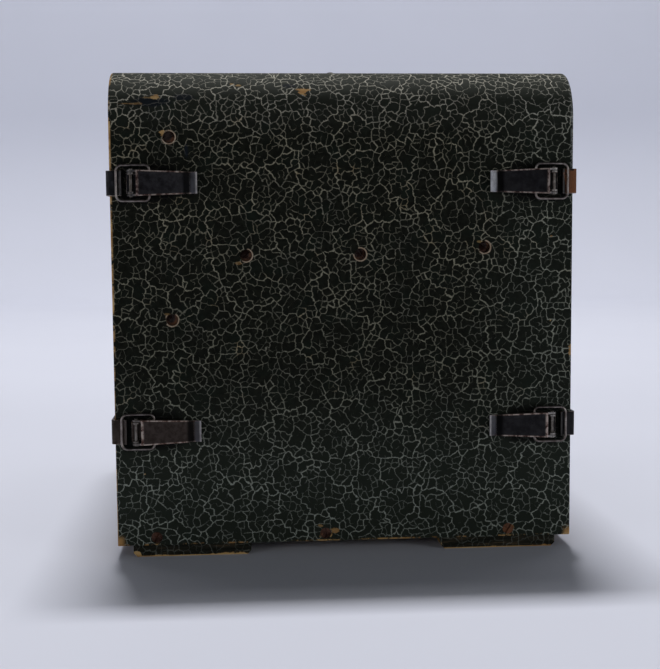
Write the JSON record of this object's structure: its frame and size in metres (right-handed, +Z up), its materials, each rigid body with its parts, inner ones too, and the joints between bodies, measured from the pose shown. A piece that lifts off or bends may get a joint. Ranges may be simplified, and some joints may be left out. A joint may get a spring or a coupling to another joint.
{
  "type": "tube tester",
  "caption": "Portable tube tester in an upright wooden case with rounded top edges, lift-off front and rear covers drawn shut by side latches, a meter panel and a folding top handle.",
  "frame": {"origin": "on the ground under the middle of the case", "axes": "+Z up, -X towards the front cover, +X towards the rear cover, -Y towards the near side wall"},
  "size_m": [0.3042, 0.376, 0.3295],
  "materials": {
    "case_lacquer": "crackled dark green lacquer",
    "bare_wood": "plain softwood",
    "latch_steel": "oxidised sheet steel",
    "wire_steel": "drawn wire, dulled",
    "screw_steel": "rusted wood screws",
    "handle_steel": "dulled nickel plate",
    "grip_leather": "worn brown leather",
    "panel_black": "satin black sheet",
    "meter_black": "moulded black",
    "meter_glass": "clear",
    "dial_card": "aged card",
    "needle_black": "matt black",
    "socket_brown": "moulded brown",
    "contact_brass": "tarnished",
    "knob_black": "polished black",
    "switch_brown": "moulded brown",
    "bush_nickel": "nickel plate",
    "button_red": "moulded red",
    "spring_steel": "bright",
    "jewel_red": "ruby",
    "core_iron": "varnished laminations",
    "coil_paper": "varnished paper",
    "strap_steel": "black paint"
  },
  "bodies": {
    "case": {"case_shell": "case_lacquer", "bottom_board": "bare_wood", "skids": "case_lacquer", "cover_stops": "bare_wood", "panel_battens": "bare_wood", "chassis_shelf": "bare_wood", "wood_screws": "screw_steel", "latch_bases": "latch_steel", "latch_pins": "latch_steel", "handle_brackets": "handle_steel", "instrument_panel": "panel_black", "meter_case": "meter_black", "meter_bezel": "meter_black", "meter_glass": "meter_glass", "meter_dial": "dial_card", "tube_sockets": "socket_brown", "socket_contacts": "contact_brass", "switch_bodies": "switch_brown", "button_bush": "bush_nickel", "button_spring": "spring_steel", "toggle_body": "bush_nickel", "lamp_holder": "bush_nickel", "lamp_jewel": "jewel_red", "mains_inlet": "meter_black", "inlet_pins": "contact_brass", "transformer_core": "core_iron", "transformer_coil": "coil_paper", "transformer_frame": "strap_steel"},
    "front_cover": {"front_cover": "case_lacquer", "front_catches": "latch_steel"},
    "rear_cover": {"rear_cover": "case_lacquer", "rear_catches": "latch_steel"},
    "handle": {"handle_bail": "handle_steel", "handle_grip": "grip_leather"},
    "needle": {"meter_needle": "needle_black"},
    "test_button": {"test_button": "button_red"},
    "toggle": {"toggle_lever": "bush_nickel"},
    "line_selector": {"line_knob": "knob_black", "line_shaft": "contact_brass"},
    "filament_selector": {"filament_knob": "knob_black", "filament_shaft": "contact_brass"},
    "shunt_selector": {"shunt_knob": "knob_black", "shunt_shaft": "contact_brass"},
    "front_near_high_lever": {"front_near_high_lever": "latch_steel"},
    "front_near_high_loop": {"front_near_high_loop": "wire_steel"},
    "rear_near_high_lever": {"rear_near_high_lever": "latch_steel"},
    "rear_near_high_loop": {"rear_near_high_loop": "wire_steel"},
    "front_far_high_lever": {"front_far_high_lever": "latch_steel"},
    "front_far_high_loop": {"front_far_high_loop": "wire_steel"},
    "rear_far_high_lever": {"rear_far_high_lever": "latch_steel"},
    "rear_far_high_loop": {"rear_far_high_loop": "wire_steel"},
    "front_near_low_lever": {"front_near_low_lever": "latch_steel"},
    "front_near_low_loop": {"front_near_low_loop": "wire_steel"},
    "rear_near_low_lever": {"rear_near_low_lever": "latch_steel"},
    "rear_near_low_loop": {"rear_near_low_loop": "wire_steel"},
    "front_far_low_lever": {"front_far_low_lever": "latch_steel"},
    "front_far_low_loop": {"front_far_low_loop": "wire_steel"},
    "rear_far_low_lever": {"rear_far_low_lever": "latch_steel"},
    "rear_far_low_loop": {"rear_far_low_loop": "wire_steel"}
  },
  "joints": [
    {"name": "front_cover_draw", "type": "slide", "parent": "case", "child": "front_cover", "axis": [-1, 0, 0], "range_m": [0, 0.05]},
    {"name": "rear_cover_draw", "type": "slide", "parent": "case", "child": "rear_cover", "axis": [1, 0, 0], "range_m": [0, 0.05]},
    {"name": "handle_swing", "type": "hinge", "parent": "case", "child": "handle", "pos_m": [0, 0, 0.323], "axis": [0, 1, 0], "range_deg": [0, 180]},
    {"name": "needle_swing", "type": "hinge", "parent": "case", "child": "needle", "pos_m": [-0.123, 0, 0.234], "axis": [1, 0, 0], "range_deg": [0, 90], "stiffness_Nm_per_rad": 0.001},
    {"name": "test_press", "type": "slide", "parent": "case", "child": "test_button", "axis": [1, 0, 0], "range_m": [0, 0.004], "stiffness_N_per_m": 600, "deforming": ["button_spring"]},
    {"name": "toggle_flip", "type": "hinge", "parent": "case", "child": "toggle", "pos_m": [-0.126, 0.092, 0.27], "axis": [0, 1, 0], "range_deg": [0, 24]},
    {"name": "line_turn", "type": "hinge", "parent": "case", "child": "line_selector", "pos_m": [-0.123, -0.1, 0.082], "axis": [-1, 0, 0], "range_deg": [-150, 150]},
    {"name": "filament_turn", "type": "hinge", "parent": "case", "child": "filament_selector", "pos_m": [-0.123, 0, 0.082], "axis": [-1, 0, 0], "range_deg": [-150, 150]},
    {"name": "shunt_turn", "type": "hinge", "parent": "case", "child": "shunt_selector", "pos_m": [-0.123, 0.1, 0.082], "axis": [-1, 0, 0], "range_deg": [-150, 150]},
    {"name": "front_near_high_lever_turn", "type": "hinge", "parent": "case", "child": "front_near_high_lever", "pos_m": [-0.136, -0.1844, 0.243], "axis": [0, 0, -1], "range_deg": [0, 120]},
    {"name": "front_near_high_loop_turn", "type": "hinge", "parent": "front_near_high_lever", "child": "front_near_high_loop", "pos_m": [-0.1245, -0.1835, 0.243], "axis": [0, 0, 1], "range_deg": [0, 160]},
    {"name": "rear_near_high_lever_turn", "type": "hinge", "parent": "case", "child": "rear_near_high_lever", "pos_m": [0.136, -0.1844, 0.243], "axis": [0, 0, 1], "range_deg": [0, 120]},
    {"name": "rear_near_high_loop_turn", "type": "hinge", "parent": "rear_near_high_lever", "child": "rear_near_high_loop", "pos_m": [0.1245, -0.1835, 0.243], "axis": [0, 0, -1], "range_deg": [0, 160]},
    {"name": "front_far_high_lever_turn", "type": "hinge", "parent": "case", "child": "front_far_high_lever", "pos_m": [-0.136, 0.1844, 0.243], "axis": [0, 0, 1], "range_deg": [0, 120]},
    {"name": "front_far_high_loop_turn", "type": "hinge", "parent": "front_far_high_lever", "child": "front_far_high_loop", "pos_m": [-0.1245, 0.1835, 0.243], "axis": [0, 0, -1], "range_deg": [0, 160]},
    {"name": "rear_far_high_lever_turn", "type": "hinge", "parent": "case", "child": "rear_far_high_lever", "pos_m": [0.136, 0.1844, 0.243], "axis": [0, 0, -1], "range_deg": [0, 120]},
    {"name": "rear_far_high_loop_turn", "type": "hinge", "parent": "rear_far_high_lever", "child": "rear_far_high_loop", "pos_m": [0.1245, 0.1835, 0.243], "axis": [0, 0, 1], "range_deg": [0, 160]},
    {"name": "front_near_low_lever_turn", "type": "hinge", "parent": "case", "child": "front_near_low_lever", "pos_m": [-0.136, -0.1844, 0.0835], "axis": [0, 0, -1], "range_deg": [0, 120]},
    {"name": "front_near_low_loop_turn", "type": "hinge", "parent": "front_near_low_lever", "child": "front_near_low_loop", "pos_m": [-0.1245, -0.1835, 0.0835], "axis": [0, 0, 1], "range_deg": [0, 160]},
    {"name": "rear_near_low_lever_turn", "type": "hinge", "parent": "case", "child": "rear_near_low_lever", "pos_m": [0.136, -0.1844, 0.0835], "axis": [0, 0, 1], "range_deg": [0, 120]},
    {"name": "rear_near_low_loop_turn", "type": "hinge", "parent": "rear_near_low_lever", "child": "rear_near_low_loop", "pos_m": [0.1245, -0.1835, 0.0835], "axis": [0, 0, -1], "range_deg": [0, 160]},
    {"name": "front_far_low_lever_turn", "type": "hinge", "parent": "case", "child": "front_far_low_lever", "pos_m": [-0.136, 0.1844, 0.0835], "axis": [0, 0, 1], "range_deg": [0, 120]},
    {"name": "front_far_low_loop_turn", "type": "hinge", "parent": "front_far_low_lever", "child": "front_far_low_loop", "pos_m": [-0.1245, 0.1835, 0.0835], "axis": [0, 0, -1], "range_deg": [0, 160]},
    {"name": "rear_far_low_lever_turn", "type": "hinge", "parent": "case", "child": "rear_far_low_lever", "pos_m": [0.136, 0.1844, 0.0835], "axis": [0, 0, -1], "range_deg": [0, 120]},
    {"name": "rear_far_low_loop_turn", "type": "hinge", "parent": "rear_far_low_lever", "child": "rear_far_low_loop", "pos_m": [0.1245, 0.1835, 0.0835], "axis": [0, 0, 1], "range_deg": [0, 160]}
  ],
  "couplings": [
    {"joint": "front_near_high_lever_turn", "follows": "front_cover_draw", "rad_per_m": 41.887},
    {"joint": "front_near_high_loop_turn", "follows": "front_cover_draw", "rad_per_m": 55.85},
    {"joint": "rear_near_high_lever_turn", "follows": "rear_cover_draw", "rad_per_m": 41.887},
    {"joint": "rear_near_high_loop_turn", "follows": "rear_cover_draw", "rad_per_m": 55.85},
    {"joint": "front_far_high_lever_turn", "follows": "front_cover_draw", "rad_per_m": 41.887},
    {"joint": "front_far_high_loop_turn", "follows": "front_cover_draw", "rad_per_m": 55.85},
    {"joint": "rear_far_high_lever_turn", "follows": "rear_cover_draw", "rad_per_m": 41.887},
    {"joint": "rear_far_high_loop_turn", "follows": "rear_cover_draw", "rad_per_m": 55.85},
    {"joint": "front_near_low_lever_turn", "follows": "front_cover_draw", "rad_per_m": 41.887},
    {"joint": "front_near_low_loop_turn", "follows": "front_cover_draw", "rad_per_m": 55.85},
    {"joint": "rear_near_low_lever_turn", "follows": "rear_cover_draw", "rad_per_m": 41.887},
    {"joint": "rear_near_low_loop_turn", "follows": "rear_cover_draw", "rad_per_m": 55.85},
    {"joint": "front_far_low_lever_turn", "follows": "front_cover_draw", "rad_per_m": 41.887},
    {"joint": "front_far_low_loop_turn", "follows": "front_cover_draw", "rad_per_m": 55.85},
    {"joint": "rear_far_low_lever_turn", "follows": "rear_cover_draw", "rad_per_m": 41.887},
    {"joint": "rear_far_low_loop_turn", "follows": "rear_cover_draw", "rad_per_m": 55.85}
  ]
}
